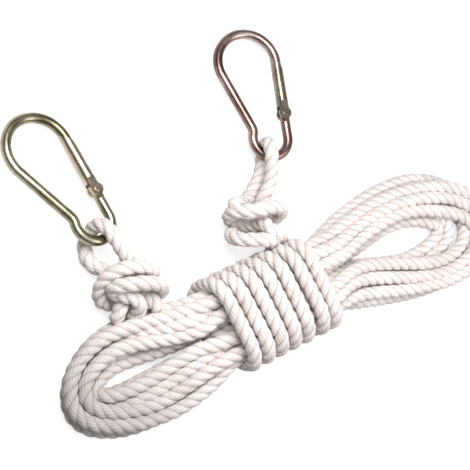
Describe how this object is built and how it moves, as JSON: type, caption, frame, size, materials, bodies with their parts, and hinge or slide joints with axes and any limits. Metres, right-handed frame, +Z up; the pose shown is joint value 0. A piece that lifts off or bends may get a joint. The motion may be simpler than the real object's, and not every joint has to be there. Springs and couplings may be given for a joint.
{
  "type": "escape rope with two snap hooks",
  "caption": "Three-strand escape rope folded into a hank and wrapped round its middle, with a knotted eye and a sprung steel snap hook at each end.",
  "frame": {"origin": "on the surface the rope lies on, under the wrapped waist of the hank", "axes": "+X along the hank towards its longer lobe, +Y from the hank towards the two hooks, +Z up"},
  "size_m": [0.2994, 0.1914, 0.0384],
  "materials": {
    "rope": "matte",
    "hook_steel": "satin",
    "gate_steel": "satin",
    "spring_steel": "satin"
  },
  "bodies": {
    "rope": {"rope_hank": "rope", "rope_wraps": "rope", "rope_lead_left": "rope", "rope_knot_left": "rope", "rope_tail_left": "rope", "rope_eye_left": "rope", "rope_knot_right": "rope", "rope_tail_right": "rope", "rope_eye_right": "rope"},
    "hook_left": {"hook_frame_left": "hook_steel"},
    "gate_left": {"hook_gate_left": "gate_steel", "hook_rivet_left": "gate_steel", "hook_spring_left": "spring_steel"},
    "plunger_left": {"hook_plunger_left": "spring_steel"},
    "hook_right": {"hook_frame_right": "hook_steel"},
    "gate_right": {"hook_gate_right": "gate_steel", "hook_rivet_right": "gate_steel", "hook_spring_right": "spring_steel"},
    "plunger_right": {"hook_plunger_right": "spring_steel"}
  },
  "joints": [
    {"name": "hook_swing_left", "type": "hinge", "parent": "rope", "child": "hook_left", "pos_m": [-0.0702, 0.06574, 0.012], "axis": [0.9473, 0.2108, -0.2411], "range_deg": [0, 90]},
    {"name": "gate_open_left", "type": "hinge", "parent": "hook_left", "child": "gate_left", "pos_m": [-0.06362, 0.09088, 0.00706], "axis": [0.2165, 0.1335, 0.9671], "range_deg": [0, 25], "stiffness_Nm_per_rad": 0.3, "springref_deg": -17.19},
    {"name": "plunger_slide_left", "type": "slide", "parent": "gate_left", "child": "plunger_left", "axis": [-0.0849, 0.9894, -0.1175], "range_m": [0, 0.00115], "deforming": ["hook_spring_left"]},
    {"name": "hook_swing_right", "type": "hinge", "parent": "rope", "child": "hook_right", "pos_m": [0.0431, 0.07111, 0.012], "axis": [0.9834, -0.1491, 0.1039], "range_deg": [0, 60]},
    {"name": "gate_open_right", "type": "hinge", "parent": "hook_right", "child": "gate_right", "pos_m": [0.05934, 0.09196, 0.01071], "axis": [-0.0851, 0.1274, 0.9882], "range_deg": [0, 25], "stiffness_Nm_per_rad": 0.3, "springref_deg": -17.19},
    {"name": "plunger_slide_right", "type": "slide", "parent": "gate_right", "child": "plunger_right", "axis": [0.3125, 0.9452, -0.095], "range_m": [0, 0.00115], "deforming": ["hook_spring_right"]}
  ],
  "couplings": [
    {"joint": "plunger_slide_left", "follows": "gate_open_left", "m_per_rad": 0.002521},
    {"joint": "plunger_slide_right", "follows": "gate_open_right", "m_per_rad": 0.002521}
  ]
}
